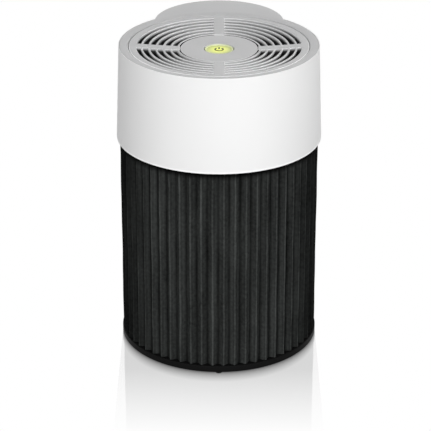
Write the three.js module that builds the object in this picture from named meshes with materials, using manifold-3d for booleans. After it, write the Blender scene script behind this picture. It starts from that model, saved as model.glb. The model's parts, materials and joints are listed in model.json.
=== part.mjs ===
// Round air purifier that draws room air in through a pleated filter drum and blows it up through a
// dished grille. Millimetres, +Z up. The fan axis is the Z axis of the inner group, the front faces -Y,
// and the carrying lobe sticks out at +Y. The outer group puts the origin under the middle of the box.

import * as THREE from 'three';
import { mergeVertices } from 'three/addons/utils/BufferGeometryUtils.js';
import Module from 'manifold-3d';

const wasm = await Module();
wasm.setup();

// ---- Driving dimensions ------------------------------------------------------------------------

const height = 412;
const gap = 0.3; // seat clearance between touching pieces
const slack = 0.5; // sideways clearance of pieces that slip into each other

// upper casing: a plain cone, a little wider at its foot
const shellTopRadius = 129.6;
const shellBottomRadius = 134;
const shellWall = 3;
const shellEdge = 0.8; // rounding of the top edge, and the lip left around the rim
const bossRadius = 6;
const bossSink = 2.3; // how far a screw boss runs into the wall
const bossCount = 4;
const pilotDepth = 15;

// top: rim with the rear lobe, dished grille, control disc
const rimThickness = 2.8;
const rimWidth = 12.7;
const rimWall = 3;
const rimLedge = 5.9; // how far the ledge under the grille reaches inwards
const ledgeThickness = 2.5;
const bowlDepth = 7; // how far the middle of the dished top lies below the rim
const lobeRadius = 86;
const lobeSet = 39.6; // lobe centre inside the casing's edge
const lobeSkirt = 26; // height of the carrying edge
const lobeWall = 3;
const lobePlay = 1.2; // between the lobe's skirt and the casing
const gripThickness = 5.7;
const gripHalfAngle = 55;
const grilleDepth = 8;
const grilleMargin = 10.4; // plain band between the rim and the outermost slot
const outerSlot = 5.4;
const innerSlot = 6.5;
const barWidth = 2.6;
const barCount = 5;
const hubMargin = 2.9; // plain band between the disc and the innermost slot
const ribWidth = 14;
const discRadius = 51.5;
const discThickness = 2.5;
const discLedge = 6;

// control group under the disc
const buttonRadius = 18.9;
const buttonDish = 0.9;
const buttonThickness = 3;
const buttonDrop = 0.6; // the button's edge lies this far below the disc
const buttonTravel = 1.5;
const stemRadius = 3;
const stemLength = 1.6;
const collarWall = 1.6;
const collarDepth = 6;
const lightGuideHeight = 4;
const lightGuideInner = 11;
const ledRingRadius = 14;
const ledWidth = 3;
const ledCount = 6;
const boardThickness = 1.6;
const boardPlay = 2;
const switchSize = 6;
const plungerRadius = 1.8;
const plungerHeight = 1;
const springRadius = 7;
const springWire = 0.5;
const springTurns = 4;
const trayDepth = 25.2; // tray floor below the top plane
const trayWall = 2;
const trayPost = 2.5;
const trayPostInset = 8;
const trayPostRadius = 3;
const chipHeight = 2;
const plugHeight = 3;

// base
const footHeight = 2;
const footRadius = 5;
const footPegRadius = 2.2;
const footPegHeight = 4;
const footInset = 5.5;
const footAngles = { front: -90, rear_right: 30, rear_left: 150 };
const baseStep = 1; // the base is this much wider than the drum
const baseThickness = 9;
const baseFloor = 4;
const baseRounding = 4.5;
const collarHeight = 29; // lock collar above the base's rim

// filter drum
const filterOverlap = 6; // how far the drum reaches up into the casing
const drumGap = 0.8; // between the drum and the casing's wall
const capThickness = 6;
const capLip = 1;
const mediaInset = 1;
const coreWall = 2;
const coreBand = 10; // solid band between two rows of windows
const coreWindow = 30;
const coreColumns = 8;
const coreRows = 3;
const carbonThickness = 3.5;
const pleatCount = 56;
const pleatDepth = 32.4;
const firstPleat = -87.2; // degrees, the first crest right of the middle of the front
const pleatWall = 5; // radial width of the folded sheet, which stands nearly edge-on
const sleeveFlute = 5.6;
const sleeveWall = 1.2;
const gasketThickness = 4.4;
const gasketInset = 9;
const gasketWidth = 20;

// twist lock between base and cage
const lockCount = 3;
const lockPlay = 1.3; // between the base's collar and the drum's cap
const lockWall = 2.7;
const lockStart = 4; // degrees between a lug and the next ledge when open
const lugHalfAngle = 18;
const lockRingRise = 8; // lock ring above the base's collar
const lugThickness = 5.6;
const ledgeHeight = 4;
const ledgeReach = 4;

// fan deck, inlet and cage
const deckThickness = 3.5;
const deckLap = 8; // how far the deck's hole lies outside the impeller's eye
const inletLap = 11; // how far the inlet's flange lies on the deck
const inletWall = 2;
const throatPlay = 3; // between the throat and the impeller's eye
const inletFlare = 11;
const cageWall = 5.5;
const cagePostWidth = 8;
const cagePosts = 6;
const cageFlangeWidth = 20.5;
const cageFlangeThickness = 3;
const cageScrewInset = 4.5;

// fan and motor
const impellerPlay = 3; // between the impeller and the guide vanes
const impellerHeight = 40;
const impellerPlate = 2.5;
const shroudSpan = 36; // from the eye to the impeller's edge
const shroudRise = 11;
const shroudWall = 2;
const bladeCount = 9;
const bladeWall = 2;
const bladeSweep = 38;
const runningGap = 4.2;
const hubRadius = 9;
const hubHeight = 6;
const shaftRadius = 3;
const shaftPlay = 0.3;
const rotorRadius = 38;
const rotorHeight = 25.2;
const rotorClearance = 6; // between the rotor and the motor mount
const rotorWall = 2.5;
const magnetWall = 2.2;
const airGap = 1;
const statorTeeth = 9;
const toothHalfAngle = 8;
const slotRoot = 17;
const statorHeight = 14;
const statorRise = 2.5; // stator above the end of the bearing tube
const windingHeight = 2.2;
const windingInset = 1.5;
const nutRadius = 6.5;
const clipRadius = 5.5;
const nutHeight = 2.9;
const shaftEnd = 0.8;
const bearingOuter = 6;
const bearingHeight = 5;
const tubeWall = 2.7;
const tubePlay = 1.7; // between the bearing tube and the rotor's floor
const clipHeight = 1.2;
const mountThickness = 3;
const mountRadius = 44;
const armCount = 3;
const armWidth = 12;
const armInset = 10; // from the vanes' inner ring to the arm screws
const vaneCount = 12;
const vaneWall = 1.6;
const vaneSweep = 4;
const vaneHeight = 18;
const vaneRingWall = 2.5;
const vaneSpan = 29.6;
const vaneRise = 3.6; // vanes above the top of the impeller

// electrics
const boxWidth = 60;
const boxDepth = 19;
const boxHeight = 41;
const boxWall = 2;
const boxPlay = 4; // between the impeller and the power box
const socketRise = 30; // socket centre above the casing's foot
const socketWidth = 26;
const socketHeight = 15.4;
const socketInset = 1.15;
const socketFlange = 4;
const socketFlangeWall = 2.5;
const socketDepth = 11;
const cavityWidth = 16.4;
const cavityHeight = 8.2;
const cavityDepth = 9;
const pinRadius = 1.2;
const pinSpacing = 8.6;
const pinTail = 3;
const pinInset = 1.3;
const transformerWidth = 16;
const transformerHeight = 20;
const capacitorLength = 22;
const sensorAngle = 150;
const sensorWidth = 24;
const sensorDepth = 12;
const sensorHeight = 25;
const sensorSlots = 5;
const sensorSlotPitch = 1.8; // degrees
const sensorSlotWidth = 1.8;
const sensorSlotHeight = 16;
const leadRadius = 1.6;
const leadSpread = 14;
const connectorHeight = 4.7;
const connectorLength = 16;
const connectorDepth = 8;
const connectorY = 30;

// screws
const screwRadius = 1.5;
const screwHead = 3.4;
const screwHeadHeight = 2.2;
const screwHole = 1.9;
const deckScrewLength = 14;
const cageScrewLength = 6;
const mountScrewLength = 12;

const fine = 40;
const medium = 24;
const coarse = 8;

// ---- Levels, from the top down -------------------------------------------------------------------

const degree = Math.PI / 180;
const trayBottom = height - trayDepth;
const mountTop = trayBottom - 2 * gap - connectorHeight;
const mountBottom = mountTop - mountThickness;
const rotorTop = mountBottom - rotorClearance;
const rotorBottom = rotorTop - rotorHeight;
const plateTop = rotorBottom - gap;
const shroudBottom = plateTop - impellerHeight;
const deckTop = shroudBottom - runningGap - inletWall - gap;
const deckBottom = deckTop - deckThickness;
const gasketTop = deckBottom - gap;
const filterTop = gasketTop - gasketThickness - gap;
const shellBottomZ = filterTop - filterOverlap;
const vaneBottom = plateTop + vaneRise;
const vaneTop = vaneBottom + vaneHeight;
const boardBottom = trayBottom + trayWall + trayPost;
const boardTop = boardBottom + boardThickness;
const socketZ = shellBottomZ + socketRise;
const baseTop = footHeight + baseThickness;
const baseFloorTop = footHeight + baseFloor;
const filterBottom = baseTop + gap;
const mediaBottom = filterBottom + capThickness + gap;
const mediaTop = filterTop - capThickness - gap;

// ---- Radii, from the casing inwards --------------------------------------------------------------

const shellOuter = (z) =>
  shellTopRadius +
  ((shellBottomRadius - shellTopRadius) * (height - z)) / (height - shellBottomZ);
const shellInner = (z) => shellOuter(z) - shellWall;
const roomBetween = (z0, z1) => Math.min(shellInner(z0), shellInner(z1));
const bowl = (r) => height - bowlDepth * (1 - (r / shellTopRadius) ** 2);

const sleeveRadius = roomBetween(shellBottomZ, filterTop) - drumGap;
const baseRadius = sleeveRadius + baseStep;
const footCircle = baseRadius - footInset;
const capTip = sleeveRadius - sleeveWall - gap;
const mediaOuter = capTip - mediaInset;
const mediaInner = mediaOuter - pleatDepth - pleatWall;
const carbonOuter = mediaInner - gap;
const carbonInner = carbonOuter - carbonThickness;
const coreRadius = carbonInner - gap - coreWall;
const capInner = coreRadius - capLip;
const lockOuter = capInner - lockPlay;
const lockInner = lockOuter - lockWall;
const cageOuter = lockInner - ledgeReach - slack;
const cageInner = cageOuter - cageWall;
const lockTop = baseTop + collarHeight;

const rimInnerRadius = shellTopRadius - rimWidth;
const grilleLedgeZ = bowl(rimInnerRadius - rimLedge) - grilleDepth - gap;
const ductTop = grilleLedgeZ - ledgeThickness - gap;
const vaneOuter = roomBetween(vaneBottom, ductTop) - slack;
const vaneInner = roomBetween(shellBottomZ, vaneTop) - slack - vaneSpan;
const armCircle = vaneInner + armInset;
const impellerRadius = vaneInner - impellerPlay;
const shroudEye = impellerRadius - shroudSpan;
const inletThroat = shroudEye - throatPlay - inletWall;
const deckHole = shroudEye + deckLap;
const bossCircle = roomBetween(deckBottom, vaneBottom) - bossRadius + bossSink;
const cageFlange = cageInner + cageFlangeWidth;
const cageScrewCircle = cageFlange - cageScrewInset;

const slotOuterRadius = rimInnerRadius - grilleMargin;
const slotInnerRadius = discRadius + hubMargin;
const firstBarRadius = slotOuterRadius - outerSlot - barWidth / 2;
const lastBarRadius = slotInnerRadius + innerSlot + barWidth / 2;
const lobeCentre = shellTopRadius - lobeSet;
const lobeBack = lobeCentre + lobeRadius;
const centreShift = (shellBottomRadius - lobeBack) / 2;

const boxY = impellerRadius + boxPlay;
const socketFace = shellOuter(socketZ) - socketInset;

// ---- Finishes ------------------------------------------------------------------------------------

const finish = (color, roughness, metalness = 0) =>
  new THREE.MeshStandardMaterial({ color, roughness, metalness });

const whitePlastic = finish('#f1f1f1', 0.35);
const greyPlastic = finish('#bcbcbc', 0.45);
const blackPlastic = finish('#161617', 0.5);
const darkPlastic = finish('#3a3b3d', 0.6);
const limePlastic = finish('#dcec62', 0.4);
const clearPlastic = finish('#e9f2c8', 0.3);
const rubber = finish('#101010', 0.9);
const textile = finish('#2c2d2e', 0.95);
const filterPaper = finish('#d9d8d2', 0.95);
const carbonFelt = finish('#1b1b1b', 0.98);
const foam = finish('#2a2a2a', 0.98);
const steel = finish('#b9bcc0', 0.35, 1);
const iron = finish('#6d7074', 0.5, 1);
const copper = finish('#b5672f', 0.4, 1);
const circuitBoard = finish('#1f5a37', 0.6);

// ---- Geometry helpers ----------------------------------------------------------------------------

// Shared vertices merged, collapsed triangles dropped and faces turned outwards.
function clean(source) {
  const bare = source.clone();
  bare.deleteAttribute('normal');
  bare.deleteAttribute('uv');
  const merged = mergeVertices(bare, 1e-4);
  const index = merged.index.array;
  const kept = [];
  for (let i = 0; i < index.length; i += 3) {
    const [a, b, c] = [index[i], index[i + 1], index[i + 2]];
    if (a !== b && b !== c && c !== a) kept.push(a, b, c);
  }
  if (volumeOf(merged.attributes.position, kept) < 0) kept.reverse();
  merged.setIndex(kept);
  return merged;
}

function volumeOf(position, index) {
  const [a, b, c] = [new THREE.Vector3(), new THREE.Vector3(), new THREE.Vector3()];
  let sum = 0;
  for (let i = 0; i < index.length; i += 3) {
    a.fromBufferAttribute(position, index[i]);
    b.fromBufferAttribute(position, index[i + 1]);
    c.fromBufferAttribute(position, index[i + 2]);
    sum += a.dot(b.cross(c));
  }
  return sum / 6;
}

function toSolid(geometry) {
  const shape = clean(geometry);
  return new wasm.Manifold(
    new wasm.Mesh({
      numProp: 3,
      vertProperties: new Float32Array(shape.attributes.position.array),
      triVerts: new Uint32Array(shape.index.array),
    }),
  );
}

function toGeometry(solid) {
  const mesh = solid.getMesh();
  const geometry = new THREE.BufferGeometry();
  geometry.setAttribute('position', new THREE.BufferAttribute(mesh.vertProperties, 3));
  geometry.setIndex(new THREE.BufferAttribute(mesh.triVerts, 1));
  return geometry;
}

const join = (...parts) => toGeometry(parts.map(toSolid).reduce((a, b) => a.add(b)));
const cut = (body, ...tools) =>
  toGeometry(tools.map(toSolid).reduce((a, b) => a.subtract(b), toSolid(body)));

// A profile of [radius, height] points turned about Z. It closes on itself or ends on the axis.
function turned(profile, segments = fine) {
  const points = profile.map(([r, z]) => new THREE.Vector2(r, z));
  const onAxis = profile[0][0] === 0 && profile[profile.length - 1][0] === 0;
  if (!onAxis) points.push(points[0].clone());
  return new THREE.LatheGeometry(points, segments).rotateX(Math.PI / 2);
}

const ring = (inner, outer, z0, z1, segments = fine) =>
  turned([[inner, z0], [outer, z0], [outer, z1], [inner, z1]], segments);

const disc = (radius, z0, z1, segments = fine) =>
  turned([[0, z0], [radius, z0], [radius, z1], [0, z1]], segments);

const post = (radius, x, y, z0, z1, segments = coarse) =>
  disc(radius, z0, z1, segments).translate(x, y, 0);

const block = (x0, x1, y0, y1, z0, z1) =>
  new THREE.BoxGeometry(x1 - x0, y1 - y0, z1 - z0)
    .translate((x0 + x1) / 2, (y0 + y1) / 2, (z0 + z1) / 2);

const prism = (shape, z0, z1, segments = medium) =>
  new THREE.ExtrudeGeometry(shape, { depth: z1 - z0, bevelEnabled: false, curveSegments: segments })
    .translate(0, 0, z0);

const atAngle = (radius, angle) => [radius * Math.cos(angle * degree), radius * Math.sin(angle * degree)];

const spread = (count, start = 0) => Array.from({ length: count }, (_, i) => start + (i * 360) / count);

function sector(inner, outer, from, to, z0, z1, segments = 8) {
  const shape = new THREE.Shape();
  shape.absarc(0, 0, outer, from * degree, to * degree, false);
  shape.absarc(0, 0, inner, to * degree, from * degree, true);
  shape.closePath();
  return prism(shape, z0, z1, segments);
}

function outline(points) {
  return new THREE.Shape(points.map(([x, y]) => new THREE.Vector2(x, y)));
}

function outlineRing(outer, inner, z0, z1) {
  const shape = outline(outer);
  shape.holes.push(outline(inner));
  return prism(shape, z0, z1);
}

function tube(points, radius, steps, sides = 8) {
  const path = new THREE.CatmullRomCurve3(points.map((p) => new THREE.Vector3(...p)));
  const section = new THREE.Shape(
    spread(sides).map((angle) => new THREE.Vector2(...atAngle(radius, angle))),
  );
  return new THREE.ExtrudeGeometry(section, { steps, extrudePath: path, bevelEnabled: false });
}

// Head up at z, shank down from it; a length below zero makes the head hang and the shank point up.
function screw(x, y, z, length) {
  const [head, shank] = length > 0 ? [z + screwHeadHeight, z - length] : [z - screwHeadHeight, z - length];
  return turned([[0, head], [screwHead, head], [screwHead, z], [screwRadius, z], [screwRadius, shank],
    [0, shank]], coarse).translate(x, y, 0);
}

function quarter(centreR, centreZ, radius, from, to, steps = 4) {
  return Array.from({ length: steps + 1 }, (_, i) => {
    const angle = (from + ((to - from) * i) / steps) * degree;
    return [centreR + radius * Math.cos(angle), centreZ + radius * Math.sin(angle)];
  });
}

// ---- Base ----------------------------------------------------------------------------------------

function basePlate() {
  const body = turned([
    [0, footHeight],
    ...quarter(baseRadius - baseRounding, footHeight + baseRounding, baseRounding, -90, 0),
    [baseRadius, baseTop],
    [lockOuter, baseTop],
    [lockOuter, lockTop],
    [lockInner, lockTop],
    [lockInner, baseFloorTop],
    [0, baseFloorTop],
  ]);
  const halfAngle = 180 / lockCount - lugHalfAngle - lockStart;
  const ledges = spread(lockCount, -90 + 180 / lockCount).map((a) =>
    sector(lockInner - ledgeReach, lockInner + lockWall / 2, a - halfAngle, a + halfAngle,
      lockTop - ledgeHeight, lockTop));
  const holes = Object.values(footAngles).map((a) =>
    post(footPegRadius + gap, ...atAngle(footCircle, a), 0, footHeight + footPegHeight + gap));
  return cut(join(body, ...ledges), ...holes);
}

function foot(angle) {
  const top = footHeight - gap;
  const edge = footHeight * 0.3;
  const profile = [[0, 0], [footRadius - edge, 0], [footRadius, edge], [footRadius, top],
    [footPegRadius, top], [footPegRadius, top + footPegHeight], [0, top + footPegHeight]];
  return turned(profile, medium / 2).translate(...atAngle(footCircle, angle), 0);
}

// ---- Filter drum ---------------------------------------------------------------------------------

// Every second point lies on a crest, the others at the bottom of a fold.
function fluted(crest, fold) {
  return spread(pleatCount * 2, firstPleat).map((a, i) => atAngle(i % 2 ? fold : crest, a));
}

// The lobes of the caps hold the sleeve in its flutes.
function filterCap(bottom) {
  const bore = spread(pleatCount, firstPleat).map((a) => atAngle(capInner, a));
  return outlineRing(fluted(capTip, capTip - sleeveFlute), bore, bottom, bottom + capThickness);
}

function filterCore() {
  const body = ring(coreRadius, coreRadius + coreWall, mediaBottom, mediaTop, coreColumns * 4);
  const rowPitch = (mediaTop - mediaBottom) / coreRows;
  const half = (rowPitch - coreBand) / 2;
  const windows = [];
  for (const a of spread(coreColumns, 180 / coreColumns).slice(0, coreColumns / 2)) {
    for (let row = 0; row < coreRows; row += 1) {
      const middle = mediaBottom + (row + 0.5) * rowPitch;
      windows.push(block(-2 * coreRadius, 2 * coreRadius, -coreWindow / 2, coreWindow / 2, middle - half,
        middle + half).rotateZ(a * degree));
    }
  }
  return cut(body, ...windows);
}

function carbonLayer() {
  return ring(carbonInner, carbonOuter, mediaBottom, mediaTop, coreColumns * 4);
}

function pleats() {
  const foldRadius = mediaOuter - pleatDepth;
  return outlineRing(fluted(mediaOuter, foldRadius), fluted(mediaOuter - pleatWall, mediaInner),
    mediaBottom, mediaTop);
}

function sleeve() {
  const inner = sleeveRadius - sleeveWall;
  return outlineRing(fluted(sleeveRadius, sleeveRadius - sleeveFlute), fluted(inner, inner - sleeveFlute),
    filterBottom + gap, filterTop - gap);
}

function filterGasket() {
  const inner = capInner + gasketInset;
  return ring(inner, inner + gasketWidth, filterTop + gap, gasketTop, medium);
}

// ---- Casing --------------------------------------------------------------------------------------

const rimOuter = shellTopRadius - shellEdge - gap;
const rimSeatZ = height - rimThickness - gap;
const rimSeatInner = rimInnerRadius + rimWall + gap;
const bossAngles = spread(bossCount, 45);

function lobeShape(radius) {
  const shape = new THREE.Shape();
  shape.absarc(0, lobeCentre, radius, 0, 2 * Math.PI, false);
  return shape;
}

function sensorSlotCuts() {
  const inside = shellInner(socketZ) - 2 * shellWall;
  const outside = shellBottomRadius + shellWall;
  return spread(sensorSlots * 2).slice(0, sensorSlots).map((_, i) => {
    const turn = sensorAngle + (i - (sensorSlots - 1) / 2) * sensorSlotPitch;
    return block(inside, outside, -sensorSlotWidth / 2, sensorSlotWidth / 2, socketZ - sensorSlotHeight / 2,
      socketZ + sensorSlotHeight / 2).rotateZ(turn * degree);
  });
}

function upperShell() {
  const edgeZ = height - shellEdge;
  const ledgeZ = rimSeatZ - ledgeThickness;
  const body = turned([
    [shellBottomRadius - shellEdge, shellBottomZ],
    [shellBottomRadius, shellBottomZ + shellEdge],
    ...quarter(shellTopRadius - shellEdge, edgeZ, shellEdge, 0, 90, 3),
    [shellTopRadius - shellEdge, rimSeatZ],
    [rimSeatInner, rimSeatZ],
    [rimSeatInner, ledgeZ],
    [shellInner(ledgeZ), ledgeZ - shellWall],
    [shellInner(shellBottomZ), shellBottomZ],
  ]);
  const bosses = bossAngles.map((a) =>
    post(bossRadius, ...atAngle(bossCircle, a), deckTop + gap, vaneBottom - gap));
  const pilots = bossAngles.map((a) =>
    post(screwHole, ...atAngle(bossCircle, a), deckTop, deckTop + pilotDepth));
  const lobeNotch = prism(lobeShape(lobeRadius + gap), rimSeatZ, height + 1, fine);
  const socketHole = block(-socketWidth / 2 - gap, socketWidth / 2 + gap, socketFace - socketDepth,
    socketFace + socketDepth, socketZ - socketHeight / 2 - gap, socketZ + socketHeight / 2 + gap);
  return cut(join(body, ...bosses), ...pilots, lobeNotch, socketHole, ...sensorSlotCuts());
}

function topRim() {
  const under = height - rimThickness;
  const frame = turned([
    [rimInnerRadius - rimLedge, grilleLedgeZ - ledgeThickness],
    [rimInnerRadius + rimWall, grilleLedgeZ - ledgeThickness],
    [rimInnerRadius + rimWall, under],
    [rimOuter, under],
    [rimOuter, height],
    [rimInnerRadius, bowl(rimInnerRadius)],
    [rimInnerRadius, grilleLedgeZ],
    [rimInnerRadius - rimLedge, grilleLedgeZ],
  ]);
  const skirtBottom = height - lobeSkirt;
  const middle = disc(rimOuter - 1, skirtBottom, height + 1);
  const plate = cut(prism(lobeShape(lobeRadius), under, height, fine), middle);
  const edge = lobeShape(lobeRadius);
  edge.holes.push(lobeShape(lobeRadius - lobeWall));
  const casing = disc(roomBetween(skirtBottom, height) + shellWall + lobePlay, skirtBottom - 1, height + 1);
  const skirt = cut(prism(edge, skirtBottom, height - rimThickness / 2, fine), casing);
  return join(frame, plate, skirt);
}

function handleGrip() {
  const outer = lobeRadius - lobeWall - gap;
  return sector(outer - gripThickness, outer, 90 - gripHalfAngle, 90 + gripHalfAngle,
    height - lobeSkirt + 1, height - rimThickness - gap, 20).translate(0, lobeCentre, 0);
}

const grilleOuter = rimInnerRadius - gap;
const discHole = discRadius + slack;
const discLedgeZ = bowl(discHole) - discThickness - gap;

function topGrille() {
  const steps = 2;
  const span = grilleOuter - discHole;
  const radii = Array.from({ length: steps + 1 }, (_, i) => discHole + (span * i) / steps);
  const body = turned([
    [discHole - discLedge, discLedgeZ],
    [discHole, discLedgeZ],
    ...radii.map((r) => [r, bowl(r)]),
    ...radii.reverse().map((r) => [r, bowl(r) - grilleDepth]),
    [discHole - discLedge, discLedgeZ - ledgeThickness],
  ]);
  const low = height - 4 * grilleDepth;
  const cross = join(
    block(-ribWidth / 2, ribWidth / 2, -grilleOuter, grilleOuter, low, height + 1),
    block(-grilleOuter, grilleOuter, -ribWidth / 2, ribWidth / 2, low, height + 1),
  );
  const pitch = (firstBarRadius - lastBarRadius) / (barCount - 1);
  const bars = Array.from({ length: barCount }, (_, i) => firstBarRadius - i * pitch);
  const outers = [slotOuterRadius, ...bars.map((r) => r - barWidth / 2)];
  const inners = [...bars.map((r) => r + barWidth / 2), slotInnerRadius];
  const slots = outers.map((outer, i) => cut(ring(inners[i], outer, low, height + 1), cross));
  return cut(body, ...slots);
}

// ---- Button and its electronics ------------------------------------------------------------------

const buttonHole = buttonRadius + slack;
const buttonTop = bowl(buttonHole) - buttonDrop;
const buttonBottom = buttonTop - buttonThickness;
const lightGuideTop = buttonBottom - buttonTravel - gap;
const trayOuter = discHole - discLedge - slack;
const boardRadius = trayOuter - trayWall - boardPlay;

function controlDisc() {
  const top = [discRadius, (discRadius + buttonHole) / 2, buttonHole];
  return turned([
    ...top.map((r) => [r, bowl(r)]),
    [buttonHole, buttonTop - collarDepth],
    [buttonHole + collarWall, buttonTop - collarDepth],
    [buttonHole + collarWall, bowl(buttonHole) - discThickness],
    [discRadius, bowl(discRadius) - discThickness],
  ]);
}

function powerButton() {
  const bevel = 0.5;
  return turned([
    [0, buttonTop - buttonDish],
    [buttonRadius / 2, buttonTop - buttonDish * 0.75],
    [buttonRadius - bevel, buttonTop],
    [buttonRadius, buttonTop - bevel],
    [buttonRadius, buttonBottom],
    [stemRadius, buttonBottom],
    [stemRadius, buttonBottom - stemLength],
    [0, buttonBottom - stemLength],
  ], medium);
}

function buttonSpring() {
  const bottom = boardTop + gap + springWire;
  const top = buttonBottom - gap - springWire;
  const steps = springTurns * 8;
  const points = Array.from({ length: steps + 1 }, (_, i) => {
    const [x, y] = atAngle(springRadius, i * 45);
    return [x, y, bottom + ((top - bottom) * i) / steps];
  });
  return tube(points, springWire, steps, 5);
}

function lightGuide() {
  return ring(lightGuideInner, buttonHole - gap, lightGuideTop - lightGuideHeight, lightGuideTop, medium);
}

function tactSwitch() {
  const top = buttonBottom - stemLength - buttonTravel - gap;
  const half = switchSize / 2;
  return join(
    block(-half, half, -half, half, boardTop + gap, top - plungerHeight),
    disc(plungerRadius, top - 2 * plungerHeight, top, coarse),
  );
}

function controlBoard() {
  const low = (boardBottom + boardTop) / 2;
  const ledTop = lightGuideTop - lightGuideHeight - gap;
  const half = ledWidth / 2;
  const leds = spread(ledCount, 30).map((a) => {
    const [x, y] = atAngle(ledRingRadius, a);
    return block(x - half, x + half, y - half, y + half, low, ledTop);
  });
  const chip = block(boardRadius * 0.5, boardRadius * 0.75, -boardRadius * 0.16, boardRadius * 0.16, low,
    boardTop + chipHeight);
  const plug = block(-boardRadius * 0.8, -boardRadius * 0.6, -boardRadius * 0.2, boardRadius * 0.2, low,
    boardTop + plugHeight);
  return join(disc(boardRadius, boardBottom, boardTop, medium), chip, plug, ...leds);
}

function controlTray() {
  const top = bowl(trayOuter) - discThickness - gap;
  const floorTop = trayBottom + trayWall;
  const posts = spread(3, 30).map((a) =>
    post(trayPostRadius, ...atAngle(trayOuter - trayPostInset, a), floorTop - 1, boardBottom - gap));
  const walls = turned([[0, trayBottom], [trayOuter, trayBottom], [trayOuter, top],
    [trayOuter - trayWall, top], [trayOuter - trayWall, floorTop], [0, floorTop]], medium);
  return join(walls, ...posts);
}

// ---- Deck, inlet and cage ------------------------------------------------------------------------

const cageScrewAngles = spread(3, 90);
const cageSides = 32;
const lockRingTop = lockTop + lockRingRise;

function fanDeck() {
  const body = ring(deckHole, shellInner(deckBottom) - slack, deckBottom, deckTop);
  const holes = [
    ...bossAngles.map((a) => atAngle(bossCircle, a)),
    ...cageScrewAngles.map((a) => atAngle(cageScrewCircle, a)),
  ].map(([x, y]) => post(screwHole, x, y, deckBottom - 1, deckTop + 1));
  return cut(body, ...holes);
}

function inletRing() {
  const z = deckTop + gap;
  const bend = inletThroat + inletFlare;
  const flange = deckHole + inletLap;
  return turned([
    [flange, z],
    ...quarter(bend, z + inletFlare, inletFlare, 270, 180, 3),
    ...quarter(bend, z + inletFlare, inletFlare - inletWall, 180, 270, 3),
    [flange, z + inletWall],
  ], medium);
}

function lockRing() {
  const lugTop = lockTop - ledgeHeight - gap;
  const lugs = spread(lockCount, -90).map((a) =>
    sector(cageOuter - cageWall / 2, lockInner - slack, a - lugHalfAngle, a + lugHalfAngle,
      lugTop - lugThickness, lugTop));
  return join(ring(cageInner, cageOuter, baseFloorTop + gap, lockRingTop, cageSides), ...lugs);
}

function filterCage() {
  const top = deckBottom - gap;
  const half = cagePostWidth / 2;
  const posts = spread(cagePosts, 30).map((a) =>
    block(cageInner + gap, cageOuter - gap, -half, half, lockRingTop + gap, top - 1).rotateZ(a * degree));
  const holes = cageScrewAngles.map((a) =>
    post(screwHole, ...atAngle(cageScrewCircle, a), top - cageScrewLength, top + 1));
  const flange = ring(cageInner, cageFlange, top - cageFlangeThickness, top, cageSides);
  return cut(join(flange, ...posts), ...holes);
}

// ---- Fan and motor -------------------------------------------------------------------------------

const boreRadius = shaftRadius + shaftPlay;
const tubeInner = bearingOuter + gap;
const tubeOuter = tubeInner + tubeWall;
const tubeBottom = rotorBottom + rotorWall + tubePlay;
const hubBottom = plateTop - impellerPlate - hubHeight;
const nutBottom = hubBottom - gap - nutHeight;
const clipTop = mountBottom - gap - slack - shaftEnd;
const magnetOuter = rotorRadius - rotorWall - gap;
const statorRadius = magnetOuter - magnetWall - airGap;
const statorBottom = tubeBottom + statorRise;
const statorTop = statorBottom + statorHeight;

// Points of one thin plate that stands on end and sweeps as it goes outwards.
function sweptPlate(inner, outer, wall, sweep, steps) {
  const side = (shift) => Array.from({ length: steps + 1 }, (_, i) => {
    const r = inner + ((outer - inner) * i) / steps;
    return atAngle(r, (sweep * i) / steps + shift / r / degree);
  });
  return outline([...side(wall), ...side(0).reverse()]);
}

function impeller() {
  const low = shroudBottom;
  const knee = shroudEye + shroudRise;
  const kneeZ = low + shroudRise / 2;
  const edgeZ = low + shroudRise;
  const shroud = turned([
    [shroudEye, low],
    [shroudEye + shroudWall, low],
    [knee, kneeZ],
    [impellerRadius, edgeZ],
    [impellerRadius, edgeZ + shroudWall],
    [knee, kneeZ + shroudWall],
    [shroudEye, low + shroudWall],
  ], medium);
  const below = turned([
    [0, low - 1],
    [impellerRadius + 1, low - 1],
    [impellerRadius + 1, edgeZ + shroudWall / 2],
    [knee, kneeZ + shroudWall / 2],
    [shroudEye, low + shroudWall / 2],
    [0, low + shroudWall / 2],
  ], medium);
  const plateBottom = plateTop - impellerPlate;
  const plate = ring(boreRadius, impellerRadius, plateBottom, plateTop, medium);
  const hub = ring(boreRadius, hubRadius, hubBottom, plateBottom + impellerPlate / 2, medium);
  const blade = prism(sweptPlate(shroudEye + 1, impellerRadius - shroudWall, bladeWall, bladeSweep, 3), low,
    plateBottom + impellerPlate / 2);
  const blades = spread(bladeCount).map((a) => blade.clone().rotateZ(a * degree));
  return join(shroud, plate, hub, cut(join(...blades), below));
}

function impellerNut() {
  const hexagon = disc(nutRadius, nutBottom, nutBottom + nutHeight, 6);
  return cut(hexagon, disc(boreRadius, nutBottom - 1, nutBottom + nutHeight + 1, medium));
}

function motorRotor() {
  const floor = rotorBottom + rotorWall;
  return turned([[boreRadius, rotorBottom], [rotorRadius, rotorBottom], [rotorRadius, rotorTop],
    [rotorRadius - rotorWall, rotorTop], [rotorRadius - rotorWall, floor], [boreRadius, floor]], medium);
}

function rotorMagnet() {
  return ring(magnetOuter - magnetWall, magnetOuter, rotorBottom + rotorWall + gap, rotorTop - magnetWall,
    medium);
}

function motorStator() {
  const points = spread(statorTeeth).flatMap((a) => [
    atAngle(slotRoot, a - toothHalfAngle * 1.2),
    atAngle(statorRadius, a - toothHalfAngle),
    atAngle(statorRadius, a + toothHalfAngle),
    atAngle(slotRoot, a + toothHalfAngle * 1.2),
  ]);
  const bore = spread(medium).map((a) => atAngle(tubeOuter + gap, a));
  return outlineRing(points, bore, statorBottom, statorTop);
}

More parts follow.
